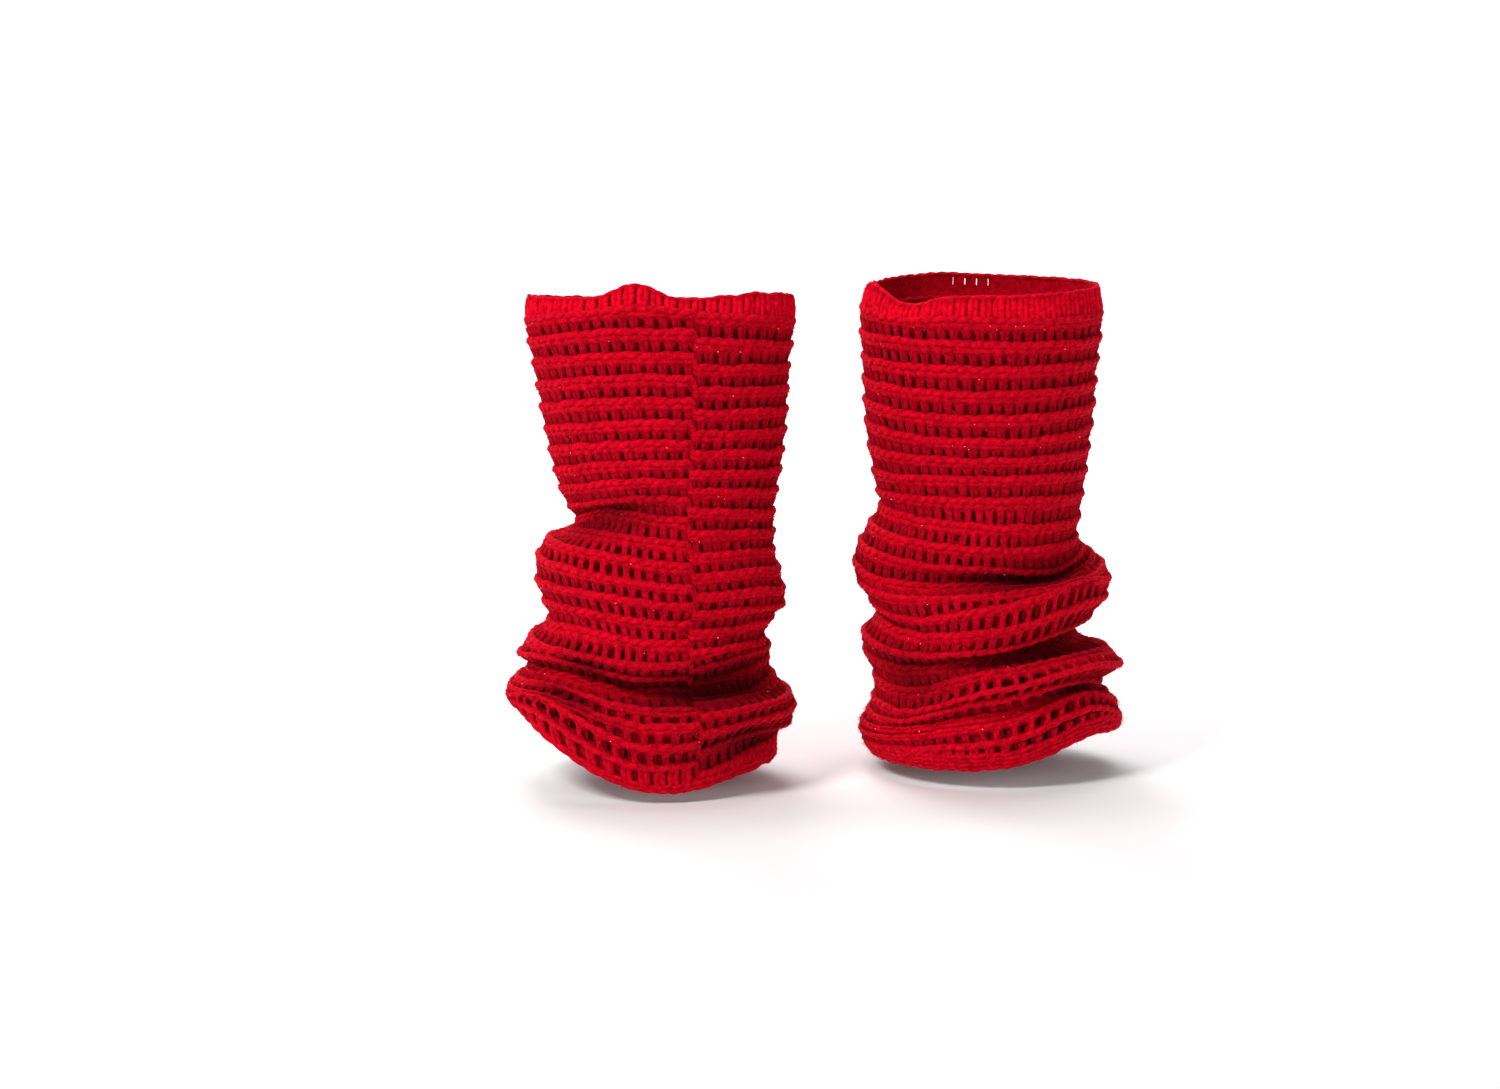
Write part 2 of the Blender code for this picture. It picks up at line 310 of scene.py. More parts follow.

# A point down a post: its share of the row, its depth, shares of the strands' radius and spread, its painted
# shade
PostPoint = namedtuple("PostPoint", "along depth width spread shade")
POST = [
    PostPoint(0.34, 0.6, 1.00, 0.80, 0.78),
    PostPoint(0.54, 0.9, 0.95, 0.75, 0.66),
    PostPoint(0.76, 1.1, 0.90, 0.65, 0.52),
    PostPoint(1.00, 1.2, 0.90, 0.70, 0.42),
]
SLIM_POST = [
    PostPoint(0.20, 0.3, 0.90, 0.60, 0.90),
    PostPoint(0.48, 0.2, 0.62, 0.25, 0.95),
    PostPoint(0.72, 0.3, 0.62, 0.30, 0.88),
    PostPoint(1.00, 0.8, 0.90, 0.75, 0.75),
]
EDGE_POST = [
    PostPoint(0.00, 0.7, 0.95, 0.95, 0.95),
    PostPoint(0.35, 0.4, 1.05, 1.15, 1.00),
    PostPoint(0.70, 0.5, 1.05, 1.15, 1.00),
    PostPoint(1.00, 0.8, 0.95, 0.90, 0.85),
]
POST_SIDES = 5
UNEVEN_POST_DEPTH = 0.2
UNEVEN_POINT_DEPTH = 0.25
UNEVEN_POST_WIDTH = 0.07

# Posts between ribs: where they start and end, down from the rib above and the rib below, and their lean
POST_START = 0.8
POST_END = -0.6
POST_LEAN = 0.1

# Posts at the cuff and the hem: depth, how far short of the edge they stop, lean, and the cuff's painted
# extra light
EDGE_POST_DEPTH = 1.8
EDGE_POST_SHORT = 2.4
EDGE_POST_LEAN = 0.05
CUFF_PAINTED_LIGHT = 1.2

# Chains along the edges: shares of a rib's radius and rise, their depths, how far in they lie and stand apart
CHAIN_RADIUS = 0.75
CHAIN_RISE = 0.5
CUFF_CHAIN_DEPTH = 1.2
HEM_CHAIN_DEPTH = 0.3
CHAIN_IN = 1.8
CHAIN_STEP = 2.8

# A point down the shoulder under a rib, at a post and at a hole: its share of the row, its depth, its painted
# shade
ShoulderPoint = namedtuple("ShoulderPoint", "post_along post_depth hole_along hole_depth shade")
SHOULDER = [
    ShoulderPoint(0.05, 2.4, 0.05, 2.5, 0.80),
    ShoulderPoint(0.16, 1.2, 0.14, 1.5, 0.97),
    ShoulderPoint(0.31, 1.3, 0.29, 1.8, 0.94),
    ShoulderPoint(0.47, 2.4, 0.43, 3.0, 0.72),
    ShoulderPoint(0.62, 4.0, 0.53, 4.6, 0.42),
]
SHOULDER_POINTS_PER_STITCH = 6
SHOULDER_WAVES = 60
UNEVEN_SHOULDER = 0.15
# Painted shade: how much darker a shoulder is over a hole
HOLE_DIM = 0.12

# A shoulder arches over holes by less in stretched cloth, and not at all in tight rows
STRETCHED_SHORT = 0.3
TIGHT_ROW = 5.0
LOOSE_ROW = 10.0

# Inner loops: their make, how deep behind the ground they lie, and how they sway in and out, and up and down
LOOP_POINTS_PER_STITCH = 2
LOOP_SIDES = 5
LOOP_WAVES = 40
LOOP_BEHIND = 0.7
LOOP_SWAY_IN = 0.3
LOOP_SWAY_DOWN = 0.7
UNEVEN_LOOP = 0.3

# Seam stitches: their rows, how far each reaches round to both sides and slants down, its depth and its make
SEAM_FIRST = 0.35
SEAM_LAST = PANEL_ROWS - 0.2
SEAM_STEP = 0.5
SEAM_REACH = 0.55
SEAM_SLANT = 0.14
UNEVEN_SEAM = 0.06
SEAM_DEPTH = 3.3
SEAM_END_DEPTH = 0.8
SEAM_POINTS = 7
SEAM_SIDES = 6
SEAM_RADIUS = 0.9

# Fuzz and glitter: where fibres root on a face, how they stand up and spread, and the shortest as a share
ROOT_SPREAD = 0.4
HAIR_UPRIGHT = 0.9
HAIR_SPREAD = 0.75
SHORTEST_HAIR = 0.25
GLINT_TILT = 0.5
SHORTEST_GLINT = 0.4

# Pieces that fuzz and glitter lie on
YARN_PARTS = ("ribs", "posts", "shoulders", "cuff_yarn", "hem_yarn")

# Camera and stage: places in metres, lens and sensor in millimetres, and the bend's start in radians
CAMERA_PLACE = (-0.043, -2.58, 0.47)
CAMERA_AIM = (-0.043, 0.0, -0.018)
CAMERA_LENS = 103.3
CAMERA_SENSOR = 36.0
FLOOR_DROP = 0.006
FLOOR_FRONT = -6.0
FLOOR_BACK = 2.6
FLOOR_SIDE = 7.0
BACKDROP_BEND = 0.9
BACKDROP_BEND_START = 0.1
BACKDROP_BEND_POINTS = 14
BACKDROP_TOP = 5.0
WORLD_STRENGTH = 0.3

# Soft lights: places and sizes in metres, and power in watts
Light = namedtuple("Light", "name place aim power size colour")
LIGHTS = [
    Light("key_light", (-1.55, -1.5, 2.1), (0.02, 0, 0), 64, 0.8, (1.0, 0.98, 0.96)),
    Light("fill_light", (1.9, -2.0, 0.9), (0, 0, 0), 8, 1.6, (0.96, 0.98, 1.0)),
    Light("backdrop_light", (0, 0.9, 2.6), (0, 3.4, 0.6), 90, 2.0, (1.0, 1.0, 1.0)),
    Light("rim_light", (-0.6, 1.7, 1.4), (0, 0, 0.05), 26, 1.2, (1.0, 1.0, 1.0)),
]


class LegWarmerSizes(bpy.types.PropertyGroup):
    """Sizes of the yarn"""

    rib_radius: FloatProperty(
        name="Rib strand radius",
        description="Half the width of a strand in a rib",
        default=0.0020,
        unit="LENGTH",
    )
    rib_rise: FloatProperty(
        name="Rib rise",
        description="How far the rib's strands wind up and down",
        default=0.0007,
        unit="LENGTH",
    )
    rib_sink: FloatProperty(
        name="Rib depth",
        description="How far the rib's strands wind in and out",
        default=0.0006,
        unit="LENGTH",
    )
    post_radius: FloatProperty(
        name="Post strand radius",
        description="Half the width of a post's strand",
        default=0.0020,
        unit="LENGTH",
    )
    post_spread: FloatProperty(
        name="Post spread",
        description="How far a post's strands stand from its middle",
        default=0.0015,
        unit="LENGTH",
    )
    post_depth: FloatProperty(
        name="Post depth",
        description="Least depth of the posts under the rib tips",
        default=0.0025,
        unit="LENGTH",
    )
    ground_depth: FloatProperty(
        name="Ground depth",
        description="Depth of the cloth behind the posts",
        default=0.0054,
        unit="LENGTH",
    )
    least_slot: FloatProperty(
        name="Least slot",
        description="Half the width of the narrowest hole",
        default=0.00015,
        unit="LENGTH",
    )
    loop_radius: FloatProperty(
        name="Inner loop radius",
        description="Half the thickness of an inner loop",
        default=0.0013,
        unit="LENGTH",
    )
    hair_length: FloatProperty(
        name="Hair length",
        description="Longest loose fibre on the yarn",
        default=0.0058,
        unit="LENGTH",
    )
    hair_width: FloatProperty(
        name="Hair width",
        description="Width of a loose fibre at its root",
        default=0.0003,
        unit="LENGTH",
    )
    hairs: IntProperty(
        name="Hairs",
        description="Loose fibres on each warmer",
        default=120000,
        min=0,
    )
    glint_length: FloatProperty(
        name="Glint length",
        description="Length of the longest bit of glitter",
        default=0.0010,
        unit="LENGTH",
    )
    glint_width: FloatProperty(
        name="Glint width",
        description="Width of a bit of glitter",
        default=0.00028,
        unit="LENGTH",
    )
    glints: IntProperty(
        name="Glints",
        description="Bits of glitter thread on each warmer",
        default=1400,
        min=0,
    )


class LegWarmerColours(bpy.types.PropertyGroup):
    """Colours of the yarn, the glitter and the floor"""

    yarn: FloatVectorProperty(
        name="Yarn",
        description="Colour of the yarn",
        subtype="COLOR",
        size=4,
        default=(0.88, 0.0, 0.018, 1.0),
    )
    yarn_dark: FloatVectorProperty(
        name="Dark fibres",
        description="Colour of the darker fibres",
        subtype="COLOR",
        size=4,
        default=(0.34, 0.0, 0.006, 1.0),
    )
    glitter: FloatVectorProperty(
        name="Glitter",
        description="Colour of the glitter thread",
        subtype="COLOR",
        size=4,
        default=(1.0, 0.62, 0.5, 1.0),
    )
    floor: FloatVectorProperty(
        name="Floor",
        description="Colour of the stage",
        subtype="COLOR",
        size=4,
        default=(0.86, 0.86, 0.87, 1.0),
    )


def ease(share):
    """A share from 0 to 1, made to start and end softly."""
    return share * share * (3 - 2 * share)


def through(stations, values, where):
    """A smooth curve through the values at the stations, read at the places in where."""
    slopes = np.gradient(values, stations, axis=0)
    low = np.clip(np.searchsorted(stations, where) - 1, 0, len(stations) - 2)
    span = (stations[low + 1] - stations[low])[..., None]
    t = (where - stations[low])[..., None] / span
    return (
        (1 + 2 * t) * (1 - t) ** 2 * values[low]
        + t * (1 - t) ** 2 * span * slopes[low]
        + t**2 * (3 - 2 * t) * values[low + 1]
        - t**2 * (1 - t) * span * slopes[low + 1]
    )


def turn_from(angle, centre):
    """Degrees from centre to angle, the short way round."""
    return (angle - centre + 180) % 360 - 180


def corner(angle, centre):
    """1 at the centre, falling smoothly to 0 on both sides."""
    return ease(np.clip(1 - np.abs(turn_from(angle, centre)) / CORNER_REACH, 0, 1))


def bell(spot, past, down):
    """How much of a spot is felt some degrees past its middle and some rows down from it, from 0 to 1."""
    return np.exp(-((past / spot.half_angle) ** 2) - (down / spot.half_rows) ** 2)


def fold_bell(fold, angle, row):
    """How much of a fold is felt, from 0 to 1."""
    past = turn_from(angle, fold.angle)
    return bell(fold, past, row - fold.row - fold.rows_per_degree * past)


def cloth(warmer, angle, row):
    """Points on the rib tips' surface, at arrays of angles in degrees (0 right, 90 back) and crochet rows."""
    table = np.array(warmer.sections, float)
    left_x, left_z, right_x, right_z, front_y, front_z, back_y, back_z, front_left_lift, front_right_lift = (
        np.moveaxis(through(table[:, 0], table[:, 1:], row), -1, 0)
    )
    turn = np.radians(angle)
    across, along = np.cos(turn), np.sin(turn)
    lift = front_left_lift * corner(angle, FRONT_LEFT) + front_right_lift * corner(angle, FRONT_RIGHT)
    push = 0.0
    for fold in warmer.folds:
        felt = fold_bell(fold, angle, row)
        push = push + fold.out * felt
        lift = lift + fold.lift * felt
    x = (left_x + right_x) / 2 + (right_x - left_x) / 2 * across + push * across
    y = (front_y + back_y) / 2 + (back_y - front_y) / 2 * along + push * along
    z = (
        (left_z + right_z + front_z + back_z) / 4
        + (right_z - left_z) / 2 * across
        + (back_z - front_z) / 2 * along
        + (left_z + right_z - front_z - back_z) / 4 * np.cos(2 * turn)
        + lift
    )
    return np.stack([x, y, z], axis=-1)


class Panel:
    """One warmer's crochet panel: finds points on it by stitch, row and depth."""

    def __init__(self, warmer):
        self.warmer = warmer
        self.rows = np.linspace(0, PANEL_ROWS, PANEL_ROWS * TABLE_STEPS_PER_ROW + 1)
        self.angles = self.stitch_angles()
        self.pitch = self.row_height()

    def even_angles(self):
        """The stitches' angles from the seam, where all of them are equally wide."""
        turns = np.linspace(0, 360, TABLE_STEPS_ROUND + 1)
        angle, row = np.broadcast_arrays(self.warmer.seam_angle + turns, self.rows[:, None])
        steps = np.linalg.norm(np.diff(cloth(self.warmer, angle, row), axis=1), axis=-1)
        walked = np.concatenate([np.zeros((len(self.rows), 1)), np.cumsum(steps, axis=1)], axis=1)
        walked = walked.mean(axis=0)
        return np.interp(np.arange(STITCHES + 1), walked * STITCHES / walked[-1], turns)

    def stitch_angles(self):
        """The stitches' angles from the seam, in columns straight down where the tube swerves to one side."""
        even = self.even_angles()
        table = np.array(self.warmer.sections, float)
        middle = np.interp(self.rows, table[:, 0], (table[:, 1] + table[:, 3]) / 2)
        reach = np.interp(self.rows, table[:, 0], (table[:, 3] - table[:, 1]) / 2)
        swerve = np.degrees((middle - middle.mean()) / reach)
        angles = even + swerve[:, None] * np.sin(np.radians(self.warmer.seam_angle + even))
        for spot in self.warmer.widenings:
            past = turn_from(self.warmer.seam_angle + even, spot.angle)
            felt = bell(spot, past, self.rows[:, None] - spot.row)
            angles = angles + spot.share * (past + spot.angle - spot.away_from) * felt
        return angles

    def row_height(self):
        """The cloth's height of one row, in millimetres, over the rows and stitches of the table."""
        angle = self.warmer.seam_angle + self.angles
        row = self.rows[:, None] + 0 * angle
        above = np.maximum(row - HEIGHT_ROWS, 0)
        below = np.minimum(row + HEIGHT_ROWS, PANEL_ROWS)
        height = np.linalg.norm(cloth(self.warmer, angle, above) - cloth(self.warmer, angle, below), axis=-1)
        return np.maximum(height / (below - above), LEAST_ROW_HEIGHT)

    def read(self, table, stitch, row):
        """The table at any stitch and row, with its last column joined to its first at the seam."""
        s = np.mod(stitch, STITCHES)
        r = np.clip(row, 0, PANEL_ROWS) * TABLE_STEPS_PER_ROW
        i = np.minimum(r.astype(int), len(self.rows) - 2)
        j = np.minimum(s.astype(int), STITCHES - 1)
        a, b = r - i, s - j
        return (
            (1 - a) * ((1 - b) * table[i, j] + b * table[i, j + 1])
            + a * ((1 - b) * table[i + 1, j] + b * table[i + 1, j + 1])
        )

    def angle_at(self, stitch, row):
        """The angle round the tube of a stitch, in degrees."""
        return self.warmer.seam_angle + self.read(self.angles, stitch, row)

    def sewn(self, stitch, row):
        """The row's place, which steps down where the panel's edge was sewn on part of a row lower."""
        share = ease(1 - np.clip(np.mod(stitch, STITCHES) / JOG_STITCHES, 0, 1))
        inside = np.clip(row / JOG_ROWS, 0, 1) * np.clip(PANEL_ROWS - row, 0, 1)
        return row + self.warmer.seam_jog * share * inside

    def place(self, stitch, row, depth, drop=0.0):
        """Points in metres and the cloth's outward directions, at a depth and a drop down the cloth in mm."""
        given = [np.asarray(value, float) for value in (stitch, row, depth, drop)]
        stitch, row, depth, drop = np.broadcast_arrays(*given)
        at = self.sewn(stitch, row)
        at = np.clip(at + drop / self.read(self.pitch, stitch, at), -PAST_EDGE, PANEL_ROWS + PAST_EDGE)
        angle = self.angle_at(stitch, at)
        point = cloth(self.warmer, angle, at)
        round_it = (
            cloth(self.warmer, angle + SLOPE_DEGREES, at) - cloth(self.warmer, angle - SLOPE_DEGREES, at)
        )
        down_it = cloth(self.warmer, angle, at + SLOPE_ROWS) - cloth(self.warmer, angle, at - SLOPE_ROWS)
        out = np.cross(down_it, round_it)
        out /= np.linalg.norm(out, axis=-1, keepdims=True)
        return (point - depth[..., None] * out) * MM, out

    def post_middles(self, row):
        """The places round the tube of a row's posts."""
        rng = np.random.default_rng([WANDER_SEED, int(row), WARMERS.index(self.warmer)])
        aside = POST_ASIDE if int(row) % 2 else -POST_ASIDE
        wander = EDGE_WANDER if row in (0, LAST_ROW) else POST_WANDER
        return np.arange(STITCHES) + 0.5 + aside + wander * rng.normal(size=STITCHES)

    def openness(self, stitch, row):
        """Half the width of the holes in stretched cloth, in millimetres, and near 0 elsewhere."""
        angle = self.angle_at(stitch, row)
        spots = self.warmer.stretches
        return sum(spot.open * bell(spot, turn_from(angle, spot.angle), row - spot.row) for spot in spots)

    def stretched(self, stitch, row):
        """How stretched the cloth is, from 0 to 1."""
        return np.clip(self.openness(stitch, row), 0, 1)

    def hollow_shade(self, stitch, row):
        """How bright the yarn is painted in the creases between the folds, as painted shade from 0 to 1."""
        at = self.sewn(stitch, row)
        angle = self.angle_at(stitch, at)
        hollow = sum(max(-fold.out, 0) * fold_bell(fold, angle, at) for fold in self.warmer.folds)
        return np.exp(-hollow / DIM_FOLD)

    def stitch_width(self, stitch, row):
        """The cloth's width of one stitch, in millimetres."""
        here, _ = self.place(stitch - 0.5, row, WIDTH_DEPTH)
        there, _ = self.place(stitch + 0.5, row, WIDTH_DEPTH)
        return np.linalg.norm(there - here, axis=-1) / MM


def unit(vectors):
    """The vectors at a length of 1."""
    return vectors / np.maximum(np.linalg.norm(vectors, axis=-1, keepdims=True), LEAST_LENGTH)


def millimetres(length):
    """A length in metres, in millimetres."""
    return length / MM


def seeded(warmer, kind):
    """The random numbers for one kind of piece on one warmer."""
    return np.random.default_rng([SEEDS[kind], WARMERS.index(warmer)])


def soft_noise(rng, count, waves):
    """A closed run of smooth random numbers of size about 1."""
    total = sum(
        rng.normal() * np.cos(2 * np.pi * k * np.arange(count) / count + rng.uniform(0, 2 * np.pi))
        for k in range(1, waves + 1)
    )
    return total / math.sqrt(waves)


def quads_between(upper, lower):
    """Quads between two lines of points, or between each two of two sets of lines, by the points' numbers."""
    quads = np.stack([upper[..., :-1], lower[..., :-1], lower[..., 1:], upper[..., 1:]], axis=-1)
    return quads.reshape(-1, 4)


def strands(paths, out, shades, radii, sides, closed, squash=1.0):
    """Vertices, faces and shades of strands, squashed in the outward direction and painted darker at their
    backs.

    The paths and outward directions are (strand, point, 3) in metres, and the shades and radii are (strand,
    point), with the radii in millimetres. An open strand has a face over each of its ends.
    """
    count, length, _ = paths.shape
    if closed:
        along = np.roll(paths, -1, axis=1) - np.roll(paths, 1, axis=1)
    else:
        along = np.gradient(paths, axis=1)
    along = unit(along)
    side = unit(np.cross(along, out))
    up = np.cross(side, along)
    turns = 2 * np.pi * np.arange(sides) / sides
    high = squash * radii[:, :, None] * np.cos(turns)
    wide = radii[:, :, None] * np.sin(turns)
    rings = high[..., None] * up[:, :, None, :] + wide[..., None] * side[:, :, None, :]
    rings = paths[:, :, None, :] + MM * rings
    index = np.arange(count * length * sides).reshape(count, length, sides)
    upper, lower = (index, np.roll(index, -1, axis=1)) if closed else (index[:, :-1], index[:, 1:])
    quads = np.stack([upper, lower, np.roll(lower, -1, axis=2), np.roll(upper, -1, axis=2)], axis=-1)
    ends = [] if closed else [*index[:, 0, ::-1].tolist(), *index[:, -1, :].tolist()]
    around = 1 - BACK_LOSS * (1 - np.cos(turns)) / 2
    return rings.reshape(-1, 3), quads.reshape(-1, 4).tolist() + ends, (shades[:, :, None] * around).ravel()


def add_piece(name, groups, material, nodes=()):
    """An object from groups of (vertices, faces, shades), on the root body, in place of the named nodes."""
    vertices, faces, shades, start = [], [], [], 0
    for points, polygons, levels in groups:
        vertices.append(points)
        faces.extend([[start + i for i in polygon] for polygon in polygons])
        shades.append(levels)
        start += len(points)
    mesh = bpy.data.meshes.new(name)
    mesh.from_pydata(np.concatenate(vertices).tolist(), [], faces)
    # Each point's painted shade, which the yarn's colour is scaled by
    shade = mesh.attributes.new("shade", "FLOAT", "POINT")
    shade.data.foreach_set("value", np.concatenate(shades).astype(np.float32))
    mesh.shade_smooth()
    mesh.materials.append(material)
    piece = bpy.data.objects.new(name, mesh)
    bpy.context.scene.collection.objects.link(piece)
    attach(piece, BODY)
    if nodes:
        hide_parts(*nodes)


def yarn_material(colours):
    """Soft acrylic yarn with mottled fibres and a fuzzy sheen, its colour scaled by each point's painted
    shade.
    """
    material = bpy.data.materials.get("soft_red_yarn")
    if material:
        return material
    material = bpy.data.materials.new("soft_red_yarn")
    material.use_nodes = True
    nodes, links = material.node_tree.nodes, material.node_tree.links
    surface = nodes["Principled BSDF"]
    surface.inputs["Roughness"].default_value = 0.82
    surface.inputs["Sheen Weight"].default_value = 0.45
    surface.inputs["Sheen Roughness"].default_value = 0.4
    surface.inputs["Sheen Tint"].default_value = (1.0, 0.02, 0.08, 1.0)
    surface.inputs["Specular IOR Level"].default_value = 0.05
    place = nodes.new("ShaderNodeTexCoord")
    mottle = nodes.new("ShaderNodeTexNoise")
    mottle.inputs["Scale"].default_value = 330.0
    mottle.inputs["Detail"].default_value = 4.0
    mottle.inputs["Roughness"].default_value = 0.7
    ramp = nodes.new("ShaderNodeValToRGB")
    ramp.color_ramp.elements[0].position = 0.30
    ramp.color_ramp.elements[0].color = colours.yarn_dark
    ramp.color_ramp.elements[1].position = 0.64
    ramp.color_ramp.elements[1].color = colours.yarn
    # The painted shade of each point darkens the yarn's colour
    shade = nodes.new("ShaderNodeAttribute")
    shade.attribute_name = "shade"
    shaded = nodes.new("ShaderNodeVectorMath")
    shaded.operation = "SCALE"
    fibres = nodes.new("ShaderNodeTexNoise")
    fibres.inputs["Scale"].default_value = 1400.0
    fibres.inputs["Detail"].default_value = 3.0
    bump = nodes.new("ShaderNodeBump")
    bump.inputs["Strength"].default_value = 0.6
    bump.inputs["Distance"].default_value = 0.0006
    links.new(place.outputs["Object"], mottle.inputs["Vector"])
    links.new(place.outputs["Object"], fibres.inputs["Vector"])
    links.new(mottle.outputs["Fac"], ramp.inputs["Fac"])
    links.new(ramp.outputs["Color"], shaded.inputs[0])
    links.new(shade.outputs["Fac"], shaded.inputs["Scale"])
    links.new(shaded.outputs["Vector"], surface.inputs["Base Color"])
    links.new(fibres.outputs["Fac"], bump.inputs["Height"])
    links.new(bump.outputs["Normal"], surface.inputs["Normal"])
    return material


def glitter_material(colours):
    """The metallic thread that runs with the yarn, with a painted glow in its own colour."""
    material = bpy.data.materials.get("glitter_thread")
    if material:
        return material
    material = bpy.data.materials.new("glitter_thread")
    material.use_nodes = True
    surface = material.node_tree.nodes["Principled BSDF"]
    surface.inputs["Base Color"].default_value = colours.glitter
    surface.inputs["Metallic"].default_value = 1.0
    surface.inputs["Roughness"].default_value = 0.25
    # A painted glow, which keeps the glints bright though the thread is no lamp
    surface.inputs["Emission Color"].default_value = colours.glitter
    surface.inputs["Emission Strength"].default_value = 0.6
    return material


def floor_material(colours):
    """The matt, pale floor."""
    material = bpy.data.materials.new("pale_floor")
    material.use_nodes = True
    surface = material.node_tree.nodes["Principled BSDF"]
    surface.inputs["Base Color"].default_value = colours.floor
    surface.inputs["Roughness"].default_value = 0.9
    return material


def ground_row(panel, row, deepest, least):
    """The lines above and below a row's holes with their painted shades, and the holes' quads with their
    darker painted shades.
    """
    middle = panel.post_middles(row)
    holes = np.sort(np.mod((middle + np.append(middle[1:], middle[0] + STITCHES)) / 2, STITCHES))
    half = panel.openness(holes, row + 0.5)
    reach = np.maximum(half, least) / panel.stitch_width(holes, row + 0.5)
    sides = np.stack([holes - reach, holes + reach], axis=1).ravel()
    around = np.concatenate([[SEAM_NUDGE], sides, [STITCHES - SEAM_NUDGE]])
    cover = np.minimum(RIB_COVER / panel.read(panel.pitch, around, row + 0.5), MOST_RIB_COVER)
    edge_raise = EDGE_RAISE if row in (0, LAST_ROW) else 0.0
    depth = deepest - edge_raise - STRETCHED_RAISE * panel.stretched(around, row + 0.5)
    high, _ = panel.place(around, row + cover, depth)
    low, _ = panel.place(around, row + 1 - cover, depth)
    plain = EDGE_GROUND_SHADE if row == 0 else GROUND_SHADE
    shades = plain * panel.hollow_shade(around, row + 0.5)
    opened = np.where((half > least) & (row < OPEN_ROWS), OPEN_SHARE, 0.0)[:, None]
    near, far = slice(1, -1, 2), slice(2, -1, 2)
    top_near = high[near] + opened * (low[near] - high[near])
    top_far = high[far] + opened * (low[far] - high[far])
    quads = np.stack([top_near, low[near], low[far], top_far], axis=1)
    # The quads in the holes are painted shade, darkest where the holes gape
    narrow = EDGE_GROUND_SHADE if row in (0, LAST_ROW) else SLOT_SHADE
    wide = EDGE_GROUND_SHADE if row == 0 else STRETCHED_SLOT_SHADE
    quad_shades = np.interp(half, (0, 1), (narrow, wide))
    return [high, low], [shades, shades], quads.reshape(-1, 3), np.repeat(quad_shades, 4)


def ground(panel, deepest, least):
    """Groups of the pierced ground that the posts stand on, and of the quads in its holes, painted dark as
    shade.
    """
    rows = [ground_row(panel, row, deepest, least) for row in range(PANEL_ROWS)]
    lines, shades, quads, quad_shades = (np.concatenate(made) for made in zip(*rows))
    index = np.arange(lines.shape[0] * lines.shape[1]).reshape(lines.shape[:2])
    faces = []
    for i in range(len(index) - 1):
        # Between a row's own two lines, every second quad is a hole
        step = 2 if i % 2 == 0 else 1
        faces += quads_between(index[i], index[i + 1])[::step].tolist()
    quad_faces = np.arange(len(quads)).reshape(-1, 4).tolist()
    return [(lines.reshape(-1, 3), faces, shades.ravel()), (quads, quad_faces, quad_shades)]


def rope(panel, row, rng, radius, rise, sink, depth, drop=0.0, climb=0.0):
    """The two strands that wind round each other along a row, and end at a stepped seam.

    In millimetres, drop moves the rope down the cloth and climb moves it up. In tight rows, the rope is
    smaller and climbs less.
    """
    count = STITCHES * ROPE_POINTS_PER_STITCH
    closed = panel.warmer.seam_jog == 0
    stitch = np.linspace(0, STITCHES, count, endpoint=not closed) - SEAM_NUDGE
    room = np.clip(panel.read(panel.pitch, stitch, row) / FULL_ROW, LEAST_SHRINK, 1.0)
    wander = soft_noise(rng, count, ROPE_WAVES)
    swell = 1 + UNEVEN_SWELL * soft_noise(rng, count, SWELL_WAVES)
    shade = panel.hollow_shade(stitch, row)
    paths, outs, shades, radii = [], [], [], []
    for strand in (0, 1):
        winding = np.pi * (stitch + strand) + UNEVEN_WINDING * wander
        front = np.sin(winding)
        deep = depth + RIB_SQUASH * radius + sink * (1 - front)
        down = drop + room * (rise * np.cos(winding) + UNEVEN_HEIGHT * wander - climb)
        point, out = panel.place(stitch, row, deep, down)
        paths.append(point)
        outs.append(out)
        shades.append(shade * (ROPE_SHADE + ROPE_FRONT_SHADE * front))
        radii.append(radius * room * swell * (ROPE_SWELL + ROPE_FRONT_SWELL * front))
    made = [np.array(values) for values in (paths, outs, shades, radii)]
    return strands(*made, ROPE_SIDES, closed, RIB_SQUASH)


def posts(panel, row, rng, radius, spread, depth, start, end, lean, form=POST, bright=1.0):
    """A post of two strands for each stitch, wide under the rib above, but slim in stretched cloth.

    In millimetres, it starts down from the rib above by start, and ends down from the rib below by end. It
    leans aside by part of a stitch.
    """
    middle = panel.post_middles(row)
    width = panel.stitch_width(middle, row + 0.5)
    stretched = panel.stretched(middle, row + 0.5)[:, None]
    full, slim = np.array(form).T[:, None, :], np.array(SLIM_POST).T[:, None, :]
    t, deep_by, thick, apart, shade = full + (slim - full) * stretched
    paths, outs, shades, radii = [], [], [], []
    for side in (-1, 1):
        stitch = middle[:, None] + side * spread * apart / width[:, None] + lean * (t - 0.5)
        uneven = UNEVEN_POST_DEPTH * rng.normal(size=(STITCHES, 1))
        deep = depth + deep_by + uneven + UNEVEN_POINT_DEPTH * rng.normal(size=stitch.shape)
        point, out = panel.place(stitch, row + t, deep, start + (end - start) * t)
        paths.append(point)
        outs.append(out)
        # Painted shade, which bright lifts at the cuff
        shades.append(shade * bright * panel.hollow_shade(stitch, row + t))
        radii.append(radius * thick * (1 + UNEVEN_POST_WIDTH * rng.normal(size=(STITCHES, 1))))
    made = [np.concatenate(values) for values in (paths, outs, shades, radii)]
    return strands(*made, POST_SIDES, False, POST_SQUASH)


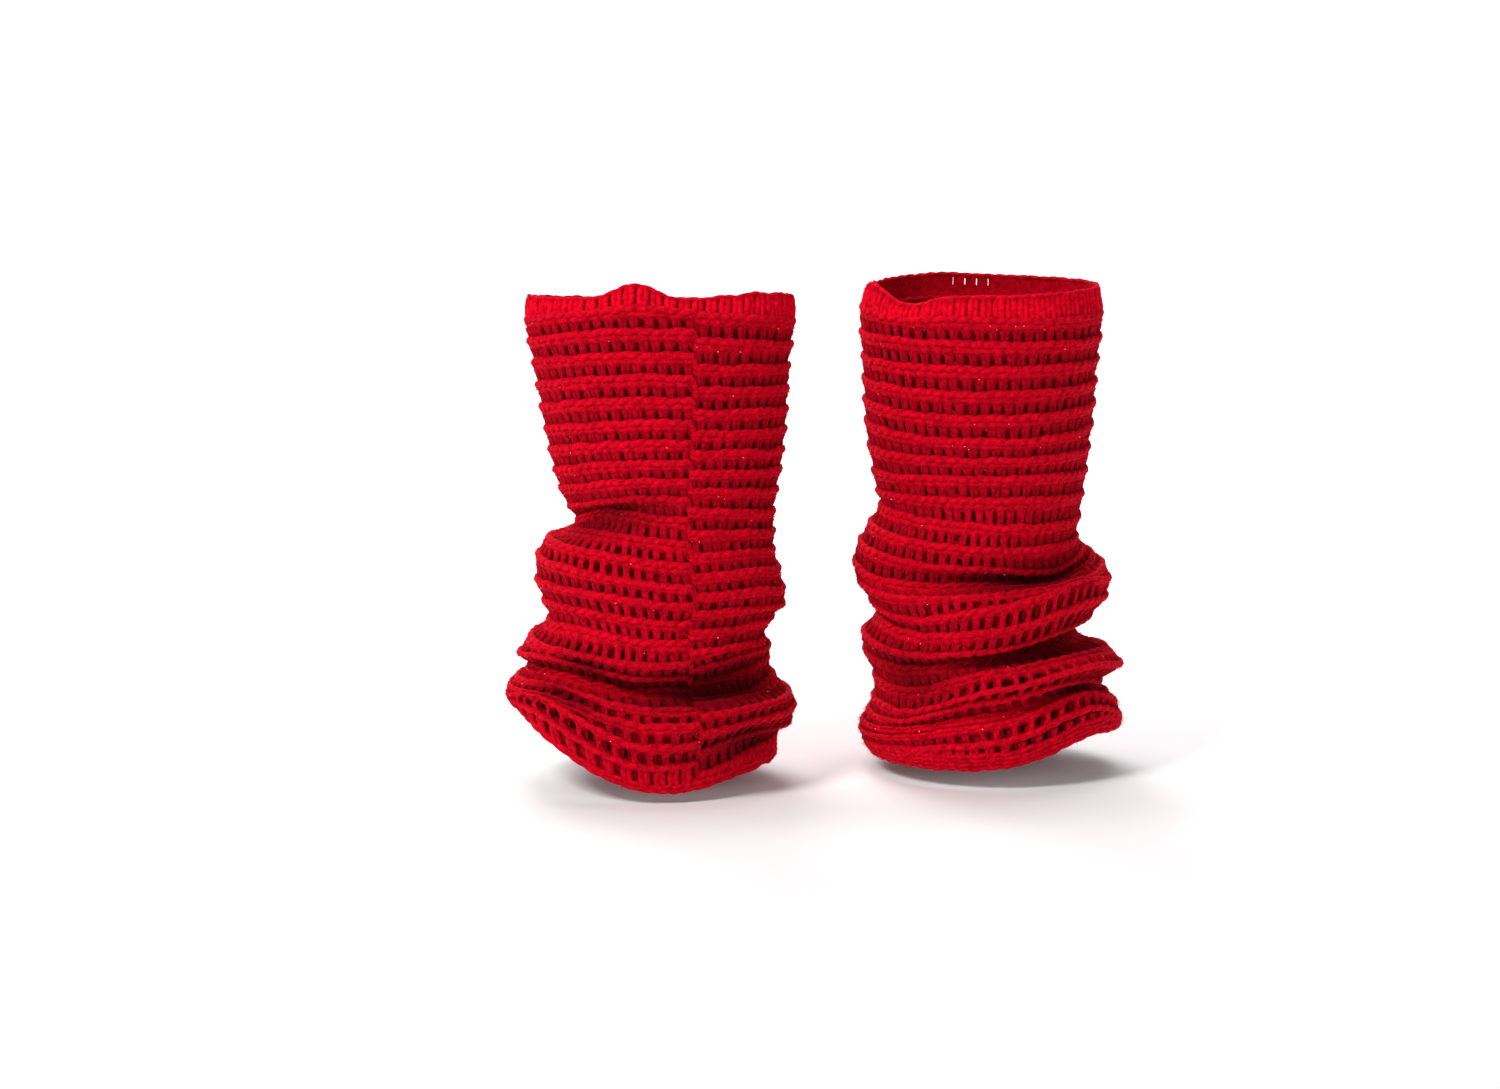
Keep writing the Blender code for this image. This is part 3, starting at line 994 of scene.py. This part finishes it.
def shoulder(panel, row, rng):
    """Vertices, faces and shades of the shoulder under a rib, which arches over the holes of the row."""
    middle = panel.post_middles(row)
    places = np.concatenate([middle[-1:] - STITCHES, middle, middle[:1] + STITCHES])
    marks = np.stack([places[:-1], (places[:-1] + places[1:]) / 2], axis=1).ravel()
    count = STITCHES * SHOULDER_POINTS_PER_STITCH + 1
    stitch = np.linspace(SEAM_NUDGE, STITCHES - SEAM_NUDGE, count)
    turn = np.pi * np.interp(stitch, marks, np.arange(len(marks)))
    pitch = panel.read(panel.pitch, stitch, row + 0.5)
    hole = (1 - np.cos(turn)) / 2 * np.clip((pitch - TIGHT_ROW) / (LOOSE_ROW - TIGHT_ROW), 0, 1)
    post_along, post_depth, hole_along, hole_depth, shade = np.array(SHOULDER).T[:, :, None]
    arch = hole_along * (1 - STRETCHED_SHORT * panel.stretched(stitch, row + 0.5))
    along = post_along + (arch - post_along) * hole
    uneven = UNEVEN_SHOULDER * soft_noise(rng, count, SHOULDER_WAVES)
    point, _ = panel.place(stitch, row + along, post_depth + (hole_depth - post_depth) * hole + uneven)
    shades = shade * (1 - HOLE_DIM * hole) * panel.hollow_shade(stitch, row + along)
    index = np.arange(len(SHOULDER) * count).reshape(len(SHOULDER), count)
    return point.reshape(-1, 3), quads_between(index[:-1], index[1:]).tolist(), shades.ravel()


def inner_loops(panel, rng, radius, depth):
    """Vertices, faces and shades of the loops that show inside the tube, one behind every rib."""
    count = STITCHES * LOOP_POINTS_PER_STITCH
    stitch = np.linspace(0, STITCHES, count) - SEAM_NUDGE
    turn = 2 * np.pi * stitch
    deep = depth + LOOP_BEHIND - LOOP_SWAY_IN * np.cos(turn)
    paths, outs = [], []
    for rib in RIBS:
        down = LOOP_SWAY_DOWN * np.sin(turn) + UNEVEN_LOOP * soft_noise(rng, count, LOOP_WAVES)
        point, out = panel.place(stitch, rib, deep, down)
        paths.append(point)
        outs.append(out)
    shades = np.full((len(paths), count), INSIDE_SHADE)
    radii = np.full((len(paths), count), radius)
    return strands(np.array(paths), -np.array(outs), shades, radii, LOOP_SIDES, False)


def seam_stitches(panel, rng, radius):
    """Vertices, faces and shades of the stitches that join the panel's edges, evenly over the seam's step."""
    rows = np.arange(SEAM_FIRST, SEAM_LAST, SEAM_STEP)
    t = np.linspace(-1, 1, SEAM_POINTS)
    stitch = SEAM_REACH * t + UNEVEN_SEAM * rng.normal(size=(len(rows), 1))
    row = rows[:, None] + SEAM_SLANT * t
    # In place of the cloth's own sudden step, each stitch goes down the step evenly
    row = 2 * row - panel.sewn(stitch, row) + panel.warmer.seam_jog * (1 + t) / 2
    point, out = panel.place(stitch, row, SEAM_DEPTH + SEAM_END_DEPTH * t**2)
    shades = SEAM_SHADE * panel.hollow_shade(stitch, row)
    return strands(point, out, shades, np.full(stitch.shape, radius * SEAM_RADIUS), SEAM_SIDES, False)


def read_mesh(items, key, width, kind=float):
    """One value of every item of a mesh, as an array with a column for each of its numbers."""
    values = np.empty(len(items) * width, kind)
    items.foreach_get(key, values)
    return values.reshape(-1, width)


def surface_samples(warmer, count, rng):
    """Random places on a warmer's yarn, most where its painted shade is bright: points, directions out, sizes
    and shades.
    """
    points, normals, areas, shades = [], [], [], []
    for part in YARN_PARTS:
        mesh = bpy.data.objects[f"{warmer.name}_{part}"].data
        first = read_mesh(mesh.polygons, "loop_start", 1, int)[:, 0]
        corners = read_mesh(mesh.loops, "vertex_index", 1, int)[:, 0]
        shade = read_mesh(mesh.attributes["shade"].data, "value", 1, np.float32)[:, 0]
        points.append(read_mesh(mesh.polygons, "center", 3))
        normals.append(read_mesh(mesh.polygons, "normal", 3))
        areas.append(read_mesh(mesh.polygons, "area", 1)[:, 0])
        shades.append(shade[corners[first]])
    points, normals, areas, shades = (np.concatenate(made) for made in (points, normals, areas, shades))
    chosen = rng.choice(len(points), size=count, p=areas * shades / (areas * shades).sum())
    return points[chosen], normals[chosen], np.sqrt(areas[chosen])[:, None], shades[chosen]


def fuzz(warmer, rng, sizes):
    """Vertices, faces and shades of the loose fibres, each a slim triangle painted with its root's shade."""
    count = sizes.hairs
    root, normal, reach, shade = surface_samples(warmer, count, rng)
    root = root + unit(np.cross(normal, rng.normal(size=(count, 3)))) * reach * ROOT_SPREAD
    length = sizes.hair_length * (SHORTEST_HAIR + (1 - SHORTEST_HAIR) * rng.random((count, 1)) ** 2)
    lean = unit(normal * HAIR_UPRIGHT + HAIR_SPREAD * rng.normal(size=(count, 3)))
    side = unit(np.cross(lean, rng.normal(size=(count, 3)))) * sizes.hair_width / 2
    points = np.stack([root - side, root + side, root + lean * length], axis=1)
    return points.reshape(-1, 3), np.arange(count * 3).reshape(-1, 3).tolist(), np.repeat(shade, 3)


def glints(warmer, rng, sizes):
    """Vertices, faces and shades of the bits of glitter, each a small flat strip."""
    count = sizes.glints
    root, normal, _, _ = surface_samples(warmer, count, rng)
    along = unit(np.cross(normal, rng.normal(size=(count, 3))))
    across = unit(np.cross(along, normal + GLINT_TILT * rng.normal(size=(count, 3)))) * sizes.glint_width / 2
    share = SHORTEST_GLINT + (1 - SHORTEST_GLINT) * rng.random((count, 1))
    along = along * sizes.glint_length * share / 2
    middle = root + normal * sizes.glint_width
    first, second = middle - along, middle + along
    points = np.stack([first - across, first + across, second + across, second - across], axis=1)
    return points.reshape(-1, 3), np.arange(count * 4).reshape(-1, 4).tolist(), np.ones(count * 4)


def backdrop_profile():
    """The floor from front to back and the bend up into the backdrop, as (y, z)."""
    bends = np.linspace(BACKDROP_BEND_START, math.pi / 2, BACKDROP_BEND_POINTS)
    bend = [
        (FLOOR_BACK + BACKDROP_BEND * math.sin(a), BACKDROP_BEND - BACKDROP_BEND * math.cos(a)) for a in bends
    ]
    return [(FLOOR_FRONT, 0.0), (FLOOR_BACK, 0.0), *bend, (FLOOR_BACK + BACKDROP_BEND, BACKDROP_TOP)]


def looking(place, aim):
    """The rotation of a light or a camera that looks from a place at an aim."""
    return (Vector(aim) - Vector(place)).to_track_quat("-Z", "Y").to_euler()


def area_light(name, place, aim, power, size, colour):
    """A soft square light."""
    light = bpy.data.lights.new(name, "AREA")
    light.energy = power
    light.size = size
    light.color = colour
    lamp = bpy.data.objects.new(name, light)
    lamp.location = place
    lamp.rotation_euler = looking(place, aim)
    bpy.context.scene.collection.objects.link(lamp)


def settings(context):
    """The sizes and colours that a user can change."""
    return context.scene.leg_warmer_sizes, context.scene.leg_warmer_colours


class LEGWARMERS_OT_ground(bpy.types.Operator):
    """Build the open ground of each warmer, pierced beside every post"""

    bl_idname = "leg_warmers.ground"
    bl_label = "Ground"

    def execute(self, context):
        sizes, colours = settings(context)
        for warmer in WARMERS:
            groups = ground(Panel(warmer), millimetres(sizes.ground_depth), millimetres(sizes.least_slot))
            add_piece(f"{warmer.name}_ground", groups, yarn_material(colours), [f"{warmer.name}_leg"])
        return {"FINISHED"}


class LEGWARMERS_OT_ribs(bpy.types.Operator):
    """Wind a two-strand rope along every rib"""

    bl_idname = "leg_warmers.ribs"
    bl_label = "Ribs"

    def execute(self, context):
        sizes, colours = settings(context)
        radius, rise, sink = (millimetres(v) for v in (sizes.rib_radius, sizes.rib_rise, sizes.rib_sink))
        for warmer in WARMERS:
            panel, rng = Panel(warmer), seeded(warmer, "ribs")
            groups = [rope(panel, rib, rng, radius, rise, sink, 0.0) for rib in RIBS]
            add_piece(f"{warmer.name}_ribs", groups, yarn_material(colours), [f"{warmer.name}_leg"])
        return {"FINISHED"}


class LEGWARMERS_OT_posts(bpy.types.Operator):
    """Stand the stitches' posts between the ribs"""

    bl_idname = "leg_warmers.posts"
    bl_label = "Posts"

    def execute(self, context):
        sizes, colours = settings(context)
        make = [millimetres(v) for v in (sizes.post_radius, sizes.post_spread, sizes.post_depth)]
        for warmer in WARMERS:
            panel, rng = Panel(warmer), seeded(warmer, "posts")
            groups = [posts(panel, rib, rng, *make, POST_START, POST_END, POST_LEAN) for rib in RIBS[:-1]]
            add_piece(f"{warmer.name}_posts", groups, yarn_material(colours), [f"{warmer.name}_leg"])
        return {"FINISHED"}


class LEGWARMERS_OT_shoulders(bpy.types.Operator):
    """Round off the cloth under every rib"""

    bl_idname = "leg_warmers.shoulders"
    bl_label = "Shoulders"

    def execute(self, context):
        _, colours = settings(context)
        for warmer in WARMERS:
            panel, rng = Panel(warmer), seeded(warmer, "shoulders")
            groups = [shoulder(panel, rib, rng) for rib in RIBS[:-1]]
            add_piece(f"{warmer.name}_shoulders", groups, yarn_material(colours), [f"{warmer.name}_leg"])
        return {"FINISHED"}


class LEGWARMERS_OT_inner_loops(bpy.types.Operator):
    """Lay the inner loop of every row behind the ribs"""

    bl_idname = "leg_warmers.inner_loops"
    bl_label = "Inner Loops"

    def execute(self, context):
        sizes, colours = settings(context)
        radius, depth = millimetres(sizes.loop_radius), millimetres(sizes.ground_depth)
        for warmer in WARMERS:
            groups = [inner_loops(Panel(warmer), seeded(warmer, "inner_loops"), radius, depth)]
            add_piece(f"{warmer.name}_inner_loops", groups, yarn_material(colours), [f"{warmer.name}_leg"])
        return {"FINISHED"}


class LEGWARMERS_OT_edges(bpy.types.Operator):
    """Work the cuff and the hem: their posts and the chains along their edges"""

    bl_idname = "leg_warmers.edges"
    bl_label = "Cuff and Hem"

    def execute(self, context):
        sizes, colours = settings(context)
        chain = [
            millimetres(sizes.rib_radius) * CHAIN_RADIUS,
            millimetres(sizes.rib_rise) * CHAIN_RISE,
            millimetres(sizes.rib_sink),
        ]
        post = [millimetres(sizes.post_radius), millimetres(sizes.post_spread), EDGE_POST_DEPTH]
        cuff_post = [*post, EDGE_POST_SHORT, POST_END, -EDGE_POST_LEAN, EDGE_POST, CUFF_PAINTED_LIGHT]
        hem_post = [*post, POST_START, -EDGE_POST_SHORT, EDGE_POST_LEAN, EDGE_POST]
        for warmer in WARMERS:
            panel, rng = Panel(warmer), seeded(warmer, "edges")
            cuff = [rope(panel, 0, rng, *chain, CUFF_CHAIN_DEPTH, CHAIN_IN), posts(panel, 0, rng, *cuff_post)]
            hem = [posts(panel, LAST_ROW, rng, *hem_post)]
            for i in range(warmer.hem_chains):
                hem.append(rope(panel, PANEL_ROWS, rng, *chain, HEM_CHAIN_DEPTH, -CHAIN_IN, CHAIN_STEP * i))
            add_piece(f"{warmer.name}_cuff_yarn", cuff, yarn_material(colours), [f"{warmer.name}_cuff"])
            add_piece(f"{warmer.name}_hem_yarn", hem, yarn_material(colours), [f"{warmer.name}_hem"])
        return {"FINISHED"}


class LEGWARMERS_OT_seams(bpy.types.Operator):
    """Whip the panel's two edges together down the front"""

    bl_idname = "leg_warmers.seams"
    bl_label = "Seams"

    def execute(self, context):
        sizes, colours = settings(context)
        for warmer in WARMERS:
            groups = [seam_stitches(Panel(warmer), seeded(warmer, "seams"), millimetres(sizes.loop_radius))]
            add_piece(f"{warmer.name}_seam", groups, yarn_material(colours))
        return {"FINISHED"}


class LEGWARMERS_OT_fuzz(bpy.types.Operator):
    """Raise loose fibres all over the yarn"""

    bl_idname = "leg_warmers.fuzz"
    bl_label = "Fuzz"

    def execute(self, context):
        sizes, colours = settings(context)
        for warmer in WARMERS:
            groups = [fuzz(warmer, seeded(warmer, "fuzz"), sizes)]
            add_piece(f"{warmer.name}_fuzz", groups, yarn_material(colours))
        return {"FINISHED"}


class LEGWARMERS_OT_glitter(bpy.types.Operator):
    """Scatter the glints of the metallic thread"""

    bl_idname = "leg_warmers.glitter"
    bl_label = "Glitter"

    def execute(self, context):
        sizes, colours = settings(context)
        for warmer in WARMERS:
            groups = [glints(warmer, seeded(warmer, "glitter"), sizes)]
            add_piece(f"{warmer.name}_glitter", groups, glitter_material(colours))
        return {"FINISHED"}


class LEGWARMERS_OT_stage(bpy.types.Operator):
    """Set the pale floor, the soft lights and the camera"""

    bl_idname = "leg_warmers.stage"
    bl_label = "Stage"

    def execute(self, context):
        _, colours = settings(context)
        floor_z = CAD_BOX[0][2] - FLOOR_DROP
        profile = backdrop_profile()
        count = len(profile)
        vertices = [(x, y, floor_z + z) for x in (-FLOOR_SIDE, FLOOR_SIDE) for y, z in profile]
        faces = [[i, i + count, i + count + 1, i + 1] for i in range(count - 1)]
        mesh = bpy.data.meshes.new("stage_floor")
        mesh.from_pydata(vertices, [], faces)
        mesh.shade_smooth()
        mesh.materials.append(floor_material(colours))
        floor = bpy.data.objects.new("stage_floor", mesh)
        context.scene.collection.objects.link(floor)
        for light in LIGHTS:
            area_light(*light)
        world = bpy.data.worlds.new("studio")
        world.use_nodes = True
        world.node_tree.nodes["Background"].inputs["Color"].default_value = (1.0, 1.0, 1.0, 1.0)
        world.node_tree.nodes["Background"].inputs["Strength"].default_value = WORLD_STRENGTH
        context.scene.world = world
        lens = bpy.data.cameras.new("camera")
        lens.lens = CAMERA_LENS
        lens.sensor_width = CAMERA_SENSOR
        camera = bpy.data.objects.new("camera", lens)
        camera.location = CAMERA_PLACE
        camera.rotation_euler = looking(CAMERA_PLACE, CAMERA_AIM)
        context.scene.collection.objects.link(camera)
        context.scene.camera = camera
        context.scene.view_settings.view_transform = "Standard"
        return {"FINISHED"}


OPERATORS = (
    LEGWARMERS_OT_ground,
    LEGWARMERS_OT_ribs,
    LEGWARMERS_OT_posts,
    LEGWARMERS_OT_shoulders,
    LEGWARMERS_OT_inner_loops,
    LEGWARMERS_OT_edges,
    LEGWARMERS_OT_seams,
    LEGWARMERS_OT_fuzz,
    LEGWARMERS_OT_glitter,
    LEGWARMERS_OT_stage,
)


class LEGWARMERS_PT_panel(bpy.types.Panel):
    """Lists the pieces of the leg warmers and their sizes"""

    bl_label = "Leg Warmers"
    bl_space_type = "VIEW_3D"
    bl_region_type = "UI"
    bl_category = "Leg Warmers"

    def draw(self, context):
        for group in settings(context):
            for name in group.__annotations__:
                self.layout.prop(group, name)
        for operator in OPERATORS:
            self.layout.operator(operator.bl_idname)


CLASSES = (LegWarmerSizes, LegWarmerColours, *OPERATORS, LEGWARMERS_PT_panel)


def register():
    for made in CLASSES:
        bpy.utils.register_class(made)
    bpy.types.Scene.leg_warmer_sizes = PointerProperty(type=LegWarmerSizes)
    bpy.types.Scene.leg_warmer_colours = PointerProperty(type=LegWarmerColours)


def unregister():
    del bpy.types.Scene.leg_warmer_colours
    del bpy.types.Scene.leg_warmer_sizes
    for made in reversed(CLASSES):
        bpy.utils.unregister_class(made)


def main():
    register()
    bpy.ops.leg_warmers.ground()
    bpy.ops.leg_warmers.ribs()
    bpy.ops.leg_warmers.posts()
    bpy.ops.leg_warmers.shoulders()
    bpy.ops.leg_warmers.inner_loops()
    bpy.ops.leg_warmers.edges()
    bpy.ops.leg_warmers.seams()
    bpy.ops.leg_warmers.fuzz()
    bpy.ops.leg_warmers.glitter()
    bpy.ops.leg_warmers.stage()


if __name__ == "__main__":
    main()
